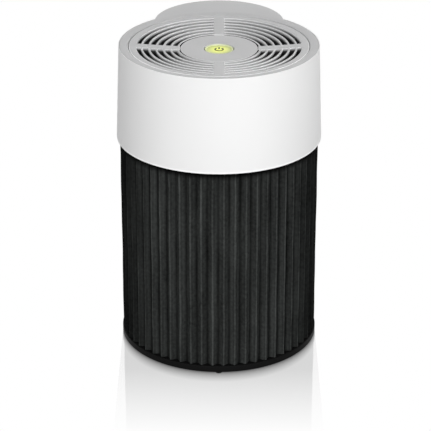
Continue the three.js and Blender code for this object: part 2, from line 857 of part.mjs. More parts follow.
function statorWindings() {
  const inner = slotRoot + windingInset;
  const outer = statorRadius - 2 * windingInset;
  const half = 180 / statorTeeth - toothHalfAngle * 1.6;
  const bars = spread(statorTeeth, 180 / statorTeeth).map((a) =>
    sector(inner + windingInset / 2, outer, a - half, a + half, statorBottom - windingHeight / 2,
      statorTop + windingHeight / 2, 1));
  return join(
    ring(inner, outer, statorBottom - gap - windingHeight, statorBottom - gap, statorTeeth * 2),
    ring(inner, outer, statorTop + gap, statorTop + gap + windingHeight, statorTeeth * 2),
    ...bars,
  );
}

function bearing(bottom) {
  return ring(boreRadius, bearingOuter, bottom, bottom + bearingHeight, medium);
}

function motorMount() {
  const hub = disc(mountRadius, mountBottom, mountTop);
  const barrel = ring(tubeInner, tubeOuter, tubeBottom, mountBottom + mountThickness / 2, medium);
  const arms = spread(armCount, 90).flatMap((a) => [
    block(mountRadius - armWidth / 2, armCircle, -armWidth / 2, armWidth / 2, mountBottom, mountTop)
      .rotateZ(a * degree),
    post(armWidth / 2, ...atAngle(armCircle, a), mountBottom, mountTop),
  ]);
  const holes = spread(armCount, 90).map((a) =>
    post(screwHole, ...atAngle(armCircle, a), mountBottom - 1, mountTop + 1));
  return cut(join(hub, barrel, ...arms), ...holes);
}

// The outer ring goes on up to the rim as the outlet duct.
function guideVanes() {
  const overlap = vaneRingWall / 2;
  const vane = prism(sweptPlate(vaneInner + overlap, vaneOuter - overlap, vaneWall, vaneSweep, 1), vaneBottom,
    vaneTop);
  const vanes = spread(vaneCount, 90 + 180 / vaneCount).map((a) => vane.clone().rotateZ(a * degree));
  const bosses = spread(armCount, 90).flatMap((a) => [
    post(armWidth / 2 - 1, ...atAngle(armCircle, a), vaneBottom, mountBottom - gap),
    block(vaneInner + overlap, armCircle, -vaneWall, vaneWall, vaneBottom, vaneTop).rotateZ(a * degree),
  ]);
  const pilots = spread(armCount, 90).map((a) =>
    post(screwHole, ...atAngle(armCircle, a), mountBottom - mountScrewLength, mountBottom));
  return cut(join(
    ring(vaneInner, vaneInner + vaneRingWall, vaneBottom, vaneTop),
    ring(vaneOuter - vaneRingWall, vaneOuter, vaneBottom, ductTop),
    ...vanes,
    ...bosses,
  ), ...pilots);
}

// ---- Electrics -----------------------------------------------------------------------------------

const boxBottom = deckTop + gap;
const boxTop = boxBottom + boxHeight;
const coverTop = boxTop + gap + boxWall;
const boardY = boxY + boxDepth * 0.42;
const partsY = boardY + boardThickness + gap;
const partsBack = boxY + boxDepth - boxWall - gap;
const pinRear = socketFace - socketDepth - pinTail;

function powerBox() {
  const half = boxWidth / 2;
  const back = boxY + boxDepth;
  const pinRoom = pinSpacing / 2 + 2 * pinRadius;
  return cut(
    block(-half, half, boxY, back, boxBottom, boxTop),
    block(-half + boxWall, half - boxWall, boxY + boxWall, back - boxWall, boxBottom + boxWall, boxTop + 1),
    block(-pinRoom, pinRoom, back - 2 * boxWall, back + 1, socketZ - 2 * pinRadius, socketZ + 2 * pinRadius),
  );
}

function powerBoxCover() {
  return block(-boxWidth / 2, boxWidth / 2, boxY, boxY + boxDepth, boxTop + gap, coverTop);
}

function powerBoard() {
  const half = boxWidth / 2 - boxWall - gap;
  return block(-half, half, boardY, boardY + boardThickness, boxBottom + boxWall + gap, boxTop - gap);
}

function transformer() {
  const [x, z] = [-boxWidth * 0.27, boxBottom + boxHeight * 0.64];
  const [w, h] = [transformerWidth / 2, transformerHeight / 2];
  return join(
    block(x - w, x + w, partsY, partsBack, z - h * 0.8, z + h * 0.8),
    block(x - w * 0.75, x + w * 0.75, partsY, partsBack, z - h, z + h),
  );
}

function capacitor() {
  const radius = (partsBack - partsY) / 2;
  return new THREE.CylinderGeometry(radius, radius, capacitorLength, coarse * 2)
    .rotateX(Math.PI / 2)
    .translate(boxWidth * 0.3, partsY + radius, boxBottom + boxHeight * 0.58);
}

function powerInlet() {
  const back = socketFace - socketDepth;
  const w = socketWidth / 2;
  const h = socketHeight / 2;
  const side = w + socketFlange;
  const top = h + socketFlange;
  const wallY = Math.sqrt(roomBetween(socketZ - top, socketZ + top) ** 2 - side ** 2) - slack;
  const r = cavityHeight / 2;
  const c = cavityWidth / 2 - r;
  const mouth = new THREE.Shape();
  mouth.absarc(c, 0, r, -Math.PI / 2, Math.PI / 2, false);
  mouth.absarc(-c, 0, r, Math.PI / 2, (3 * Math.PI) / 2, false);
  const cavity = prism(mouth, 0, cavityDepth + 1, 8).rotateX(-Math.PI / 2)
    .translate(0, socketFace - cavityDepth, socketZ);
  const pinHoles = [-1, 1].map((s) => disc(pinRadius + gap, -1, socketDepth, coarse * 2)
    .rotateX(-Math.PI / 2).translate((s * pinSpacing) / 2, back, socketZ));
  return cut(join(
    block(-w, w, back, socketFace, socketZ - h, socketZ + h),
    block(-side, side, wallY - socketFlangeWall, wallY, socketZ - top, socketZ + top),
  ), cavity, ...pinHoles);
}

function inletPin(side) {
  return disc(pinRadius, 0, socketDepth + pinTail - pinInset, coarse * 2)
    .rotateX(-Math.PI / 2)
    .translate((side * pinSpacing) / 2, pinRear, socketZ);
}

function airSensor() {
  const half = sensorWidth / 2;
  const top = boxBottom + sensorHeight;
  const outer = Math.sqrt(roomBetween(boxBottom, top) ** 2 - half ** 2) - slack;
  const slotRoom = sensorSlotHeight / 2;
  return cut(
    block(outer - sensorDepth, outer, -half, half, boxBottom, top),
    block(outer - sensorDepth * 0.4, outer + 1, -half * 0.75, half * 0.75, socketZ - slotRoom,
      socketZ + slotRoom),
  ).rotateZ(sensorAngle * degree);
}

function motorConnector() {
  return block(-connectorLength / 2, connectorLength / 2, connectorY - connectorDepth / 2,
    connectorY + connectorDepth / 2, mountTop + gap, mountTop + gap + connectorHeight);
}

// From the power box up between two vanes, over the motor mount and in to the middle.
function lead(side, endY, endZ) {
  const x = side * leadSpread;
  const start = coverTop + gap;
  const inward = (share) => armCircle + (endY - armCircle) * share;
  return tube([
    [x, armCircle, start],
    [x, armCircle, (start + vaneTop) / 2],
    [x, armCircle, vaneTop + 2 * leadRadius],
    [x * 0.85, inward(0.25), endZ + leadRadius],
    [x * 0.5, inward(0.62), endZ + leadRadius / 2],
    [0, inward(0.93), endZ],
    [0, endY, endZ],
  ], leadRadius, 20);
}

// ---- Assembly ------------------------------------------------------------------------------------

const purifier = new THREE.Group();
const pieces = new THREE.Group();
pieces.position.y = centreShift;
purifier.add(pieces);

function add(name, geometry, material) {
  const mesh = new THREE.Mesh(clean(geometry), material.clone());
  mesh.name = name;
  pieces.add(mesh);
}

add('base_plate', basePlate(), blackPlastic);
for (const [place, angle] of Object.entries(footAngles)) add(`foot_${place}`, foot(angle), rubber);

add('filter_bottom_cap', filterCap(filterBottom), blackPlastic);
add('filter_core', filterCore(), darkPlastic);
add('carbon_layer', carbonLayer(), carbonFelt);
add('filter_media', pleats(), filterPaper);
add('prefilter_sleeve', sleeve(), textile);
add('filter_top_cap', filterCap(filterTop - capThickness), blackPlastic);
add('filter_gasket', filterGasket(), foam);

add('upper_shell', upperShell(), whitePlastic);
add('top_rim', topRim(), greyPlastic);
add('handle_grip', handleGrip(), darkPlastic);
add('top_grille', topGrille(), greyPlastic);
add('control_disc', controlDisc(), greyPlastic);
add('control_tray', controlTray(), darkPlastic);
add('control_board', controlBoard(), circuitBoard);
add('tact_switch', tactSwitch(), darkPlastic);
add('light_guide', lightGuide(), clearPlastic);
add('button_spring', buttonSpring(), steel);
add('power_button', powerButton(), limePlastic);

add('fan_deck', fanDeck(), darkPlastic);
bossAngles.forEach((a, i) =>
  add(`deck_screw_${i + 1}`, screw(...atAngle(bossCircle, a), deckBottom - gap, -deckScrewLength), steel));
add('inlet_ring', inletRing(), darkPlastic);
add('filter_cage', filterCage(), darkPlastic);
add('lock_ring', lockRing(), darkPlastic);
cageScrewAngles.forEach((a, i) =>
  add(`cage_screw_${i + 1}`, screw(...atAngle(cageScrewCircle, a), deckTop + gap, cageScrewLength), steel));

add('impeller', impeller(), blackPlastic);
add('motor_rotor', motorRotor(), steel);
add('rotor_magnet', rotorMagnet(), iron);
add('motor_shaft', disc(shaftRadius, nutBottom - shaftEnd, clipTop + shaftEnd, medium), steel);
add('impeller_nut', impellerNut(), steel);
add('shaft_clip', ring(boreRadius, clipRadius, clipTop - clipHeight, clipTop, coarse * 2), steel);
add('motor_stator', motorStator(), iron);
add('stator_windings', statorWindings(), copper);
add('motor_mount', motorMount(), darkPlastic);
add('bearing_lower', bearing(tubeBottom + 1), steel);
add('bearing_upper', bearing(clipTop - clipHeight - gap - bearingHeight), steel);
spread(armCount, 90).forEach((a, i) =>
  add(`mount_screw_${i + 1}`, screw(...atAngle(armCircle, a), mountTop + gap, mountScrewLength), steel));
add('guide_vanes', guideVanes(), darkPlastic);

add('power_box', powerBox(), blackPlastic);
add('power_box_cover', powerBoxCover(), blackPlastic);
add('power_board', powerBoard(), circuitBoard);
add('transformer', transformer(), copper);
add('capacitor', capacitor(), darkPlastic);
add('power_inlet', powerInlet(), blackPlastic);
add('inlet_pin_left', inletPin(-1), steel);
add('inlet_pin_right', inletPin(1), steel);
add('air_sensor', airSensor(), darkPlastic);
add('motor_connector', motorConnector(), whitePlastic);
add('motor_lead', lead(-1, connectorY + connectorDepth / 2 + gap, mountTop + 2 * leadRadius - slack),
  blackPlastic);
add('control_lead', lead(1, trayOuter + gap, trayBottom + 2 * trayWall), blackPlastic);

export default purifier;
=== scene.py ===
import json
import math

import bpy
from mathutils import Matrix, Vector


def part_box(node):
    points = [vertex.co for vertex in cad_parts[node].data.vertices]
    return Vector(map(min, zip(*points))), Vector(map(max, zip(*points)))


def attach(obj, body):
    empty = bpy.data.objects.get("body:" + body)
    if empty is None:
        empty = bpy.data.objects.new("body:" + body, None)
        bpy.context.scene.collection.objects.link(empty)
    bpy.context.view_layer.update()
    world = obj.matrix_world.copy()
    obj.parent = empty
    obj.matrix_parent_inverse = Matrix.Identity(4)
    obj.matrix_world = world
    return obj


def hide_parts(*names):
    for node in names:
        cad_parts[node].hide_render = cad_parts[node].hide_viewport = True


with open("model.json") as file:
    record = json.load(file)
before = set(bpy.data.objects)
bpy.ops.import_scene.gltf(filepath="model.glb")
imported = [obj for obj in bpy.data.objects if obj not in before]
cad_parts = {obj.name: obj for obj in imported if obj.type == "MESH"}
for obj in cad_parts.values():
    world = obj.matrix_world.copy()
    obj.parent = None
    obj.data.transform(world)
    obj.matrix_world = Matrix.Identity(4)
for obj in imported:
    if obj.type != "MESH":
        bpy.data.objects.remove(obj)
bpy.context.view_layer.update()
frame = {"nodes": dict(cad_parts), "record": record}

nodes = frame["nodes"]
mm = 0.001  # lengths are in metres
whole_turn = 2 * math.pi
merge_distance = 0.005 * mm
past = 5 * mm  # how far a cutting tool reaches beyond what it cuts
corner_steps = 4
round_steps = 256  # of the widest round pieces


# ---- Sizes, read from the frame where it has them ------------------------------------------------

def low(node):
    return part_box(node)[0]


def high(node):
    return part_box(node)[1]


def half_width(node):
    return (high(node).x - low(node).x) / 2


axis_y = (low("fan_deck").y + high("fan_deck").y) / 2
fan_axis = Vector((0, axis_y, 0))
top_z = high("top_rim").z
rim_radius = half_width("top_rim")
grille_radius = half_width("top_grille")
disc_radius = half_width("control_disc")
button_radius = half_width("power_button")
casing_foot_radius = half_width("upper_shell")
casing_foot_z = low("upper_shell").z
casing_top_radius = rim_radius + 1.1 * mm
casing_wall = 3 * mm
rim_thickness = 3.1 * mm  # where it lies in the casing
lobe_radius = 86 * mm
lobe_axis = Vector((0, high("top_rim").y - lobe_radius, 0))
bowl_depth = 7 * mm
pleats = 56
lock_inner = 79 * mm


def bowl(radius):
    """Height of the dished top at a distance from the fan axis."""
    return top_z - bowl_depth * (1 - (radius / casing_top_radius) ** 2)


def casing_radius(z):
    """Outer radius of the cone casing at a height."""
    rise = (z - casing_foot_z) / (top_z - casing_foot_z)
    return casing_foot_radius + (casing_top_radius - casing_foot_radius) * rise


# ---- Modelling steps -----------------------------------------------------------------------------

def only(piece):
    bpy.ops.object.select_all(action="DESELECT")
    piece.select_set(True)
    bpy.context.view_layer.objects.active = piece


def primitive(add, **size_and_place):
    """A new primitive, with its place moved into its mesh."""
    bpy.ops.object.select_all(action="DESELECT")
    add(**size_and_place)
    bpy.ops.object.transform_apply(location=True, rotation=True, scale=True)
    return bpy.context.active_object


def open_mesh(piece):
    """Goes into edit mode with everything on the piece selected."""
    only(piece)
    bpy.ops.object.mode_set(mode="EDIT")
    bpy.ops.mesh.select_mode(type="VERT")
    select_mesh()


def select_mesh():
    bpy.ops.mesh.select_all(action="SELECT")


def extrude(step):
    bpy.ops.mesh.extrude_region_move(TRANSFORM_OT_translate={"value": step})


def close_mesh(turned_outwards=True):
    """Leaves edit mode, with the faces turned outwards."""
    if turned_outwards:
        bpy.ops.mesh.normals_make_consistent(inside=False)
    bpy.ops.object.mode_set(mode="OBJECT")


def traced(start, steps):
    """A line drawn by extruding one corner step after step. Edit mode stays open, all selected."""
    piece = primitive(bpy.ops.mesh.primitive_plane_add, size=mm, location=start)
    open_mesh(piece)
    bpy.ops.mesh.merge(type="CENTER")
    for step in steps:
        extrude(step)
    select_mesh()
    return piece


def filled(outline, step):
    """Closes a traced outline with a face and extrudes it by one step."""
    bpy.ops.mesh.edge_face_add()
    extrude(step)
    select_mesh()
    close_mesh()
    return outline


def rounded(corners):
    """The points of an outline whose corners are (across, up) or (across, up, rounding)."""
    points = []
    for i, (across, up, *rounding) in enumerate(corners):
        here = Vector((across, up))
        if not rounding:
            points.append(here)
            continue
        before = (Vector(corners[i - 1][:2]) - here).normalized()
        after = (Vector(corners[(i + 1) % len(corners)][:2]) - here).normalized()
        half = before.angle(after) / 2
        middle = here + (before + after).normalized() * rounding[0] / math.sin(half)
        reach = rounding[0] / math.tan(half)
        first = here + before * reach - middle
        last = here + after * reach - middle
        start = math.atan2(first.y, first.x)
        sweep = (math.atan2(last.y, last.x) - start + math.pi) % whole_turn - math.pi
        for step in range(corner_steps + 1):
            turn = start + sweep * step / corner_steps
            points.append(middle + rounding[0] * Vector((math.cos(turn), math.sin(turn))))
    return points


def turned(corners, about=fan_axis, steps=192, closed=True):
    """One corner extruded along a profile, then spun about an upright axis."""
    points = rounded(corners)
    if closed:
        points.append(points[0])
    piece = traced(about + Vector((points[0].x, 0, points[0].y)),
                   [(b.x - a.x, 0, b.y - a.y) for a, b in zip(points, points[1:])])
    bpy.ops.mesh.remove_doubles(threshold=merge_distance)
    select_mesh()
    bpy.ops.mesh.spin(steps=steps, angle=whole_turn, center=about, axis=(0, 0, 1))
    select_mesh()
    bpy.ops.mesh.remove_doubles(threshold=merge_distance)
    close_mesh()
    return piece


def prism(points, bottom, top):
    """A flat outline of (x, y) points, filled and extruded upwards."""
    outline = traced(Vector((*points[0], bottom)),
                     [(b[0] - a[0], b[1] - a[1], 0) for a, b in zip(points, points[1:])])
    return filled(outline, (0, 0, top - bottom))


def arc_outline(first_radius, second_radius, turns, centre_y=axis_y):
    """Points along one arc and back along another, for a plate bent about an upright axis."""
    there = [(first_radius * math.cos(t), centre_y + first_radius * math.sin(t)) for t in turns]
    back = [(second_radius * math.cos(t), centre_y + second_radius * math.sin(t)) for t in reversed(turns)]
    return there + back


def block(low_corner, high_corner):
    """A box between two corners."""
    middle = (Vector(low_corner) + Vector(high_corner)) / 2
    size = Vector(high_corner) - Vector(low_corner)
    return primitive(bpy.ops.mesh.primitive_cube_add, size=1, location=middle, scale=size)


def turned_round(piece, angle):
    """The piece turned anticlockwise, seen from above, about the fan axis."""
    only(piece)
    bpy.ops.transform.rotate(value=-angle, orient_axis="Z", center_override=fan_axis)
    bpy.ops.object.transform_apply(location=True, rotation=True, scale=True)
    return piece


def copy_of(piece):
    """A copy with its own mesh."""
    only(piece)
    bpy.ops.object.duplicate(linked=False)
    return bpy.context.active_object


def around(piece, count, first=0.0):
    """The piece and its copies, evenly round the fan axis."""
    copies = [piece] + [copy_of(piece) for _ in range(count - 1)]
    for i, each in enumerate(copies):
        turned_round(each, first + i * whole_turn / count)
    return copies


def joined(pieces):
    """The pieces joined into the first one's mesh."""
    only(pieces[0])
    for piece in pieces:
        piece.select_set(True)
    if len(pieces) > 1:
        bpy.ops.object.join()
    return bpy.context.active_object


def combine(piece, tools, operation):
    """Applies a Boolean modifier for each tool, then removes the tool."""
    for tool in tools:
        only(piece)
        boolean = piece.modifiers.new("shape", "BOOLEAN")
        boolean.operation = operation
        boolean.solver = "EXACT"
        boolean.object = tool
        bpy.ops.object.modifier_apply(modifier=boolean.name)
        only(tool)
        bpy.ops.object.delete()
    return piece


def cut(piece, *tools):
    return combine(piece, tools, "DIFFERENCE")


def fused(piece, *tools):
    return combine(piece, tools, "UNION")


def bevelled(piece, width, segments=3, angle=40):
    """The piece with its edges rounded where they bend by more than the angle, in degrees."""
    only(piece)
    bevel = piece.modifiers.new("edges", "BEVEL")
    bevel.width = width
    bevel.segments = segments
    bevel.angle_limit = math.radians(angle)
    bpy.ops.object.modifier_apply(modifier=bevel.name)
    return piece


def refined(node, width, segments=2):
    """A copy of a frame node with its loose triangles merged and its edges broken."""
    piece = copy_of(nodes[node])
    piece.parent = None
    for key in list(piece.keys()):
        del piece[key]
    open_mesh(piece)
    bpy.ops.mesh.remove_doubles(threshold=merge_distance)
    bpy.ops.mesh.dissolve_limited(angle_limit=math.radians(2))
    close_mesh(turned_outwards=False)
    return bevelled(piece, width, segments)


def finished(piece, name, body, finish, stands_for=(), sharp=30):
    """Names the piece, gives it its finish and hangs it on its body."""
    only(piece)
    piece.name = piece.data.name = name
    piece.data.materials.clear()
    piece.data.materials.append(finish)
    bpy.ops.object.shade_smooth_by_angle(angle=math.radians(sharp))
    if stands_for:
        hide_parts(*stands_for)
    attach(piece, body)
    return piece


# ---- Finishes ------------------------------------------------------------------------------------

def group(name, inputs, outputs):
    """An empty shader group with named float or colour sockets."""
    tree = bpy.data.node_groups.new(name, "ShaderNodeTree")
    for label, kind, value in inputs:
        socket = tree.interface.new_socket(label, in_out="INPUT", socket_type=f"NodeSocket{kind}")
        socket.default_value = value
    for label, kind in outputs:
        tree.interface.new_socket(label, in_out="OUTPUT", socket_type=f"NodeSocket{kind}")
    return tree, tree.nodes.new("NodeGroupInput"), tree.nodes.new("NodeGroupOutput")


def wire(tree, source, target):
    """Links a socket to the target, or sets the target to a plain value."""
    if isinstance(source, bpy.types.NodeSocket):
        tree.links.new(source, target)
    else:
        target.default_value = source


def maths(tree, operation, *values):
    """A Math node on numbers or sockets. Gives its output socket."""
    node = tree.nodes.new("ShaderNodeMath")
    node.operation = operation
    for socket, value in zip(node.inputs, values):
        wire(tree, value, socket)
    return node.outputs[0]


def vector_maths(tree, operation, *values):
    """A Vector Math node on vectors or sockets. Gives its output socket."""
    node = tree.nodes.new("ShaderNodeVectorMath")
    node.operation = operation
    for socket, value in zip(node.inputs, values):
        wire(tree, value, socket)
    return node.outputs[0]


def swing(tree, pattern, amount, level=1.0):
    """A pattern from 0 to 1 made to vary about the level, by the amount in all."""
    return maths(tree, "MULTIPLY_ADD", maths(tree, "SUBTRACT", pattern, 0.5), amount, level)


def levelled(tree, value, start, end, start_level, end_level, interpolation="LINEAR"):
    """The value's span from start to end mapped to a span of levels, flat beyond both ends."""
    node = tree.nodes.new("ShaderNodeMapRange")
    node.interpolation_type = interpolation
    for label, number in (("From Min", start), ("From Max", end), ("To Min", start_level),
                          ("To Max", end_level)):
        node.inputs[label].default_value = number
    wire(tree, value, node.inputs["Value"])
    return node.outputs[0]


def ramp(tree, stops, position):
    """Colours over a position, from (place, colour) stops between 0 and 1. Gives the colour's socket."""
    node = tree.nodes.new("ShaderNodeValToRGB")
    steps = node.color_ramp.elements
    steps[0].color = (*stops[0][1], 1)
    steps[1].position = stops[-1][0]
    steps[1].color = (*stops[-1][1], 1)
    for place, colour in stops[1:-1]:
        steps.new(place).color = (*colour, 1)
    wire(tree, position, node.inputs["Fac"])
    return node.outputs["Color"]


def noise(tree, place, scale, detail=2.0):
    """A noise pattern from 0 to 1."""
    node = tree.nodes.new("ShaderNodeTexNoise")
    node.inputs["Detail"].default_value = detail
    wire(tree, place, node.inputs["Vector"])
    wire(tree, scale, node.inputs["Scale"])
    return node.outputs["Fac"]


def place_on_piece(tree):
    return tree.nodes.new("ShaderNodeTexCoord").outputs["Object"]


def moulded_grain():
    """Fine sparked grain and slow shade of a moulded surface."""
    tree, given, made = group(
        "moulded grain",
        [("Grain Scale", "Float", 900.0), ("Shade Scale", "Float", 9.0), ("Shade", "Float", 0.02),
         ("Roughness", "Float", 0.4), ("Spread", "Float", 0.08)],
        [("Height", "Float"), ("Tint", "Float"), ("Roughness", "Float")])
    place = place_on_piece(tree)
    grain = noise(tree, place, given.outputs["Grain Scale"], 3.0)
    slow = noise(tree, place, given.outputs["Shade Scale"])
    wire(tree, grain, made.inputs["Height"])
    wire(tree, swing(tree, slow, given.outputs["Shade"]), made.inputs["Tint"])
    coarse = swing(tree, slow, given.outputs["Spread"], given.outputs["Roughness"])
    wire(tree, swing(tree, grain, given.outputs["Spread"], coarse), made.inputs["Roughness"])
    return tree


def round_the_axis():
    """Distance from the fan axis, turn about it and height, in metres and radians."""
    tree, _, made = group("round the axis", [],
                          [("Radius", "Float"), ("Turn", "Float"), ("Height", "Float")])
    split = tree.nodes.new("ShaderNodeSeparateXYZ")
    wire(tree, place_on_piece(tree), split.inputs[0])
    along = maths(tree, "SUBTRACT", split.outputs["Y"], axis_y)
    squares = maths(tree, "ADD", maths(tree, "MULTIPLY", split.outputs["X"], split.outputs["X"]),
                    maths(tree, "MULTIPLY", along, along))
    wire(tree, maths(tree, "SQRT", squares), made.inputs["Radius"])
    wire(tree, maths(tree, "ARCTAN2", along, split.outputs["X"]), made.inputs["Turn"])
    wire(tree, split.outputs["Z"], made.inputs["Height"])
    return tree


grain_group = moulded_grain()
axis_group = round_the_axis()


def blank(name):
    """A new finish with its node tree and its shader."""
    material = bpy.data.materials.new(name)
    material.use_nodes = True
    return material, material.node_tree, material.node_tree.nodes["Principled BSDF"]


def use(tree, shared):
    """A shared effect placed in a finish."""
    node = tree.nodes.new("ShaderNodeGroup")
    node.node_tree = shared
    return node


def shaded(tree, colour, amount, target):
    """The colour times a number that changes over the surface."""
    scale = tree.nodes.new("ShaderNodeVectorMath")
    scale.operation = "SCALE"
    scale.inputs[0].default_value = colour
    wire(tree, amount, scale.inputs["Scale"])
    wire(tree, scale.outputs[0], target)


def bumped(tree, height, distance, strength, target):
    """The height pressed into the surface as a normal."""
    bump = tree.nodes.new("ShaderNodeBump")
    bump.inputs["Distance"].default_value = distance
    bump.inputs["Strength"].default_value = strength
    wire(tree, height, bump.inputs["Height"])
    wire(tree, bump.outputs["Normal"], target)


def grey(value):
    return (value, value, value)


def greys(*stops):
    """Stops for a ramp that only changes in lightness."""
    return [(place, grey(level)) for place, level in stops]


grain_relief = 0.1 * mm


def plastic(name, colour, roughness, grain=900.0, relief=0.05, shade=0.02, specular=0.5, metallic=0.0,
            painted_light_and_shade=None):
    """A moulded or worked surface: its own grain, slow shade and uneven gloss, times any painted light and
    shade that is given.
    """
    material, tree, shader = blank(name)
    shader.inputs["Specular IOR Level"].default_value = specular
    shader.inputs["Metallic"].default_value = metallic
    node = use(tree, grain_group)
    node.inputs["Grain Scale"].default_value = grain
    node.inputs["Shade"].default_value = shade
    node.inputs["Roughness"].default_value = roughness
    tint = node.outputs["Tint"]
    # Painted light and shade, where given, multiplies the colour.
    if painted_light_and_shade:
        tint = maths(tree, "MULTIPLY", tint, painted_light_and_shade(tree))
    shaded(tree, colour, tint, shader.inputs["Base Color"])
    wire(tree, node.outputs["Roughness"], shader.inputs["Roughness"])
    bumped(tree, node.outputs["Height"], grain_relief, relief, shader.inputs["Normal"])
    return material


def painted_slot_shade_and_edge_highlights(tree):
    """Painted highlights on the bars' edges, painted shade in the slots that deepens the deeper they go,
    darkest in the gap round the disc.
    """
    deepest = 5 * mm
    gap_radius, gap_reach, gap_darker = disc_radius - 0.4 * mm, 1.3 * mm, 3.0
    where = use(tree, axis_group)
    share = maths(tree, "DIVIDE", where.outputs["Radius"], casing_top_radius)
    dip = maths(tree, "SUBTRACT", 1.0, maths(tree, "MULTIPLY", share, share))
    surface = maths(tree, "MULTIPLY_ADD", dip, -bowl_depth, top_z)
    depth = maths(tree, "SUBTRACT", surface, where.outputs["Height"])
    # Painted shade: the gap round the disc counts as deeper, so it comes out darker.
    disc_gap = maths(tree, "COMPARE", where.outputs["Radius"], gap_radius, gap_reach)
    depth = maths(tree, "MULTIPLY", depth, maths(tree, "MULTIPLY_ADD", disc_gap, gap_darker, 1.0))
    # Painted highlight just below the crests, then painted shade further down into the slots.
    painted_highlight_and_shade_by_depth = greys((0, 0.6), (0.04, 0.6), (0.08, 1.25), (0.26, 1.25), (0.4, 0.9),
                            (0.58, 0.65), (0.75, 0.18), (1, 0.05))
    return ramp(tree, painted_highlight_and_shade_by_depth, maths(tree, "DIVIDE", depth, deepest))


def painted_foot_highlight(tree):
    """A painted highlight on the casing's foot: its colour lighter just above the lower edge."""
    edge_z, edge_blend, edge_lighter = casing_foot_z + 2.4 * mm, 1 * mm, 1.13
    where = use(tree, axis_group)
    # Painted highlight: edge_lighter times the colour below edge_z, fading out over edge_blend.
    return levelled(tree, where.outputs["Height"], edge_z, edge_z + edge_blend, edge_lighter, 1.0)


white_gloss = plastic("satin white casing", grey(0.85), 0.4, relief=0.03, shade=0.01, specular=0.15,
                      painted_light_and_shade=painted_foot_highlight)
top_grey = plastic("light grey top", (0.47, 0.47, 0.474), 0.3, relief=0.06, specular=0.4)
grille_grey = plastic("light grey grille", (0.783, 0.783, 0.79), 0.25, relief=0.06,
                      painted_light_and_shade=painted_slot_shade_and_edge_highlights)
base_black = plastic("satin black base", grey(0.006), 0.5, relief=0.06, shade=0.2, specular=0.03)
inner_dark = plastic("dark inner moulding", grey(0.012), 0.65, relief=0.1, shade=0.15, specular=0.12)
foot_rubber = plastic("foot rubber", grey(0.006), 0.8, grain=500.0, relief=0.3, shade=0.2, specular=0.2)
foam = plastic("seal foam", grey(0.012), 0.95, grain=420.0, relief=1.0, shade=0.3, specular=0.1)
steel = plastic("zinc-plated steel", (0.55, 0.56, 0.58), 0.3, grain=1500.0, relief=0.05, metallic=1.0)
iron = plastic("motor iron", (0.2, 0.21, 0.22), 0.45, grain=700.0, relief=0.1, metallic=1.0)
copper = plastic("enamelled copper", (0.62, 0.22, 0.08), 0.35, grain=1200.0, relief=0.3, metallic=1.0)
green_board = plastic("circuit board", (0.012, 0.09, 0.035), 0.4, relief=0.05, shade=0.1)
milky_clear = plastic("milky light guide", (0.72, 0.8, 0.5), 0.3)
lead_sheath = plastic("lead sheath", grey(0.01), 0.5)
white_nylon = plastic("white connector", grey(0.7), 0.45)
felt = plastic("carbon felt", grey(0.006), 0.95, grain=350.0, relief=1.0, shade=0.4, specular=0.1)
paper = plastic("filter paper", (0.74, 0.73, 0.69), 0.9, grain=600.0, relief=0.5, shade=0.08, specular=0.2)


def painted_side_shade(tree):
    """Painted shade on the cloth: darker where the drum turns away from the eye."""
    turning, turned_away, away_level = 0.2, 0.82, 0.36
    outward = vector_maths(tree, "SUBTRACT", place_on_piece(tree), fan_axis)
    outward = vector_maths(tree, "MULTIPLY", outward, (1, 1, 0))
    outward = vector_maths(tree, "NORMALIZE", outward)
    placed = tree.nodes.new("ShaderNodeVectorTransform")
    placed.vector_type = "NORMAL"
    placed.convert_from, placed.convert_to = "OBJECT", "WORLD"
    wire(tree, outward, placed.inputs[0])
    facing = tree.nodes.new("ShaderNodeLayerWeight")
    wire(tree, placed.outputs[0], facing.inputs["Normal"])
    # Painted shade: the colour falls to away_level towards the drum's sides as seen.
    return levelled(tree, facing.outputs["Facing"], turning, turned_away, 1.0, away_level, "SMOOTHSTEP")


